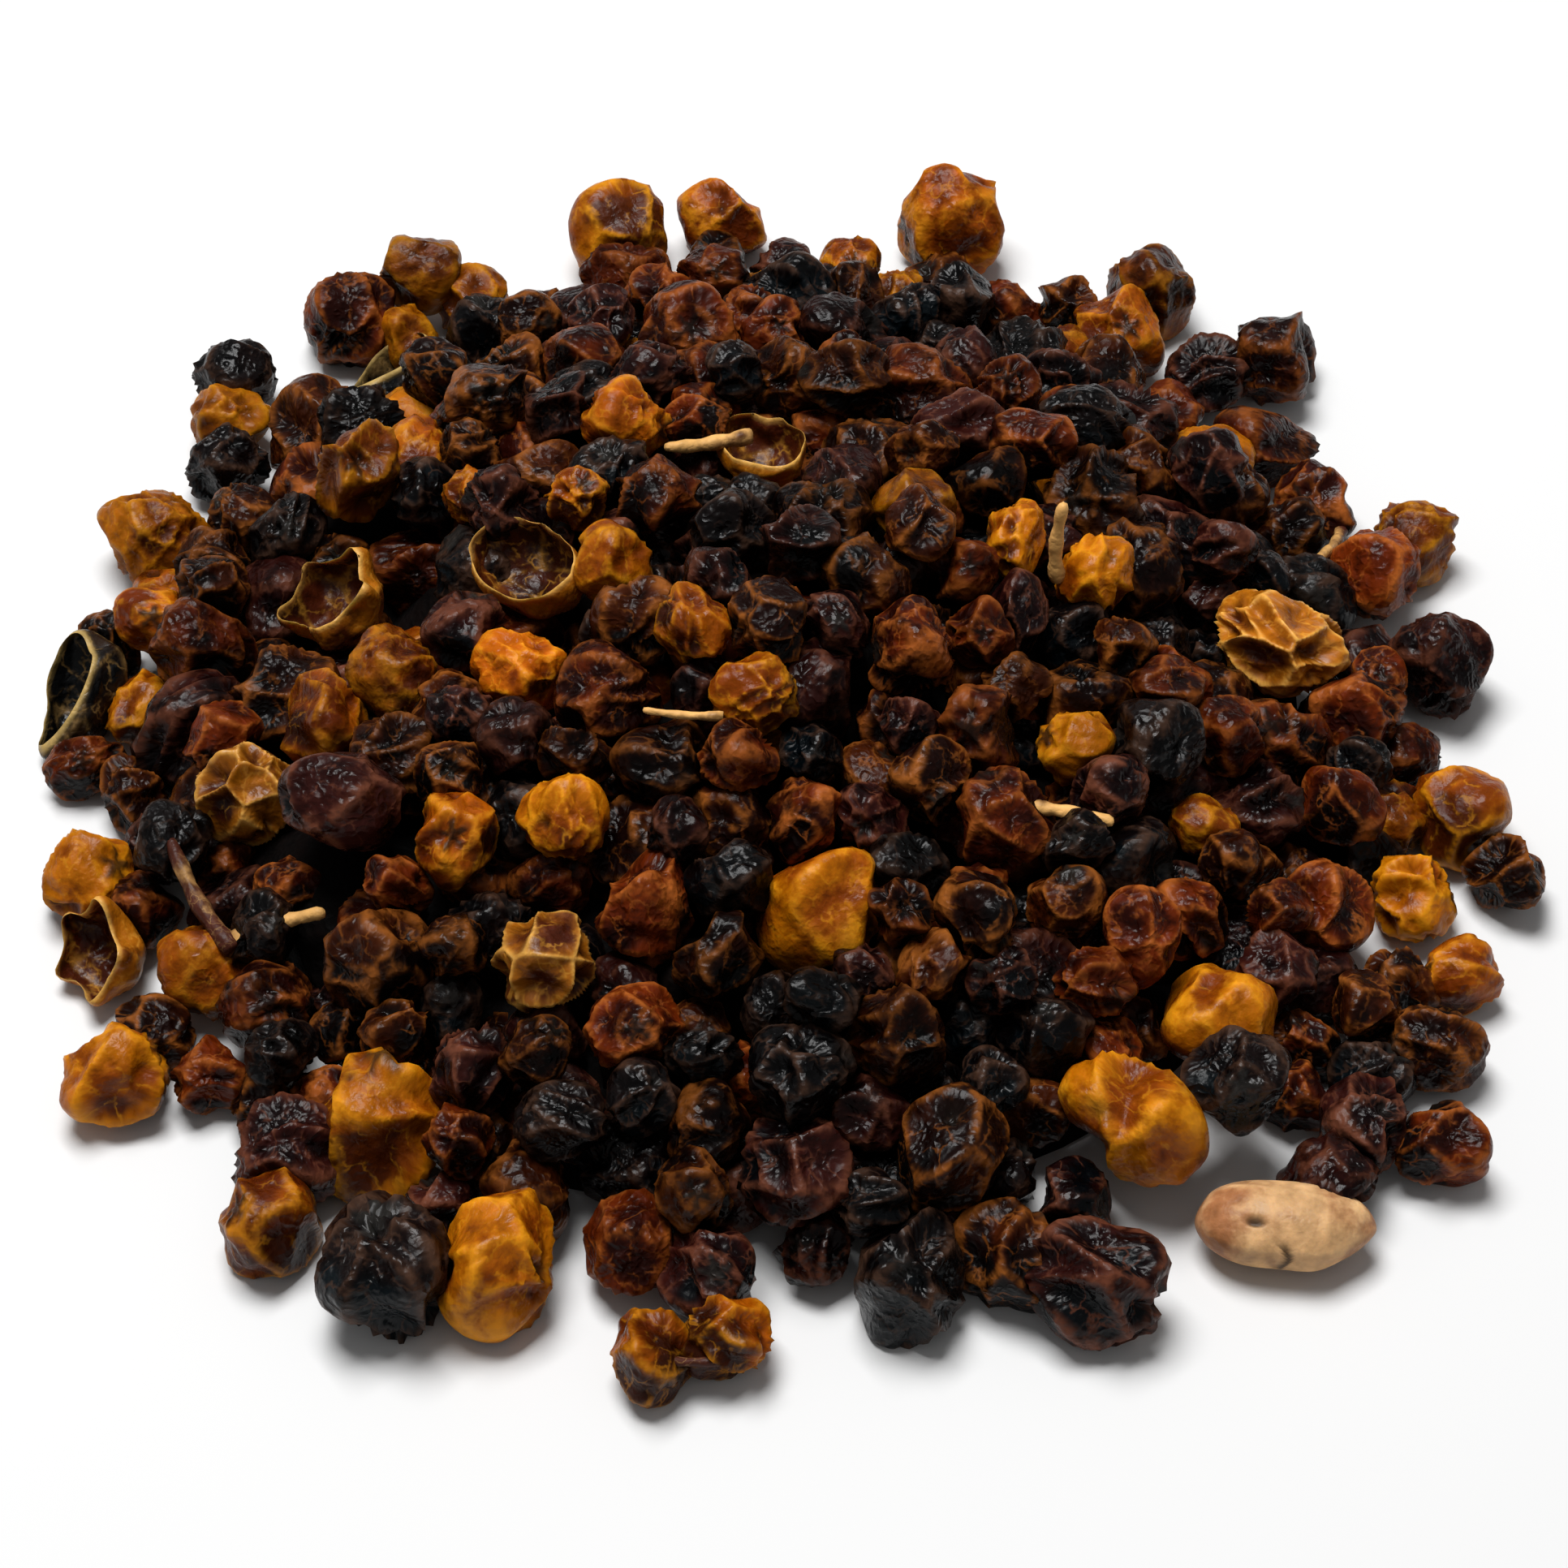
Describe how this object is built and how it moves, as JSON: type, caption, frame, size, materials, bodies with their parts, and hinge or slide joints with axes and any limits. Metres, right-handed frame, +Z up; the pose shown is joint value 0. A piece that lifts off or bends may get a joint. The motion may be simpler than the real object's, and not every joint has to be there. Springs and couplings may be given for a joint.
{
  "type": "heap of dried rowan berries",
  "caption": "Loose low heap of wrinkled dried rowan berries in gold, amber, rust, plum and black, with a few split skins, thin stalks and one pale husk, lying on a flat surface.",
  "frame": {"origin": "on the surface that the heap lies on, under the middle of the heap", "axes": "+Z up, the heap's front faces -Y, +X to the right"},
  "size_m": [0.1322, 0.1434, 0.0261],
  "materials": {
    "golden_berry": "dried translucent golden skin with brown spots, softly glossy",
    "amber_berry": "dried orange skin, wrinkled, softly glossy",
    "rust_berry": "dried red-brown skin, wrinkled, with lighter ridges",
    "brown_berry": "dried brown skin, wrinkled, matte",
    "plum_berry": "dried dark plum skin, wrinkled like a raisin, with small highlights",
    "black_berry": "dried black skin with a cool sheen",
    "split_skin": "papery split skin with pale curled edges",
    "seed_husk": "smooth pale dry husk",
    "stalk": "thin dry woody stalk",
    "heap_inside": "dark berries deep in the heap"
  },
  "bodies": {
    "root": {"berry_heap": "rust_berry"}
  },
  "joints": []
}
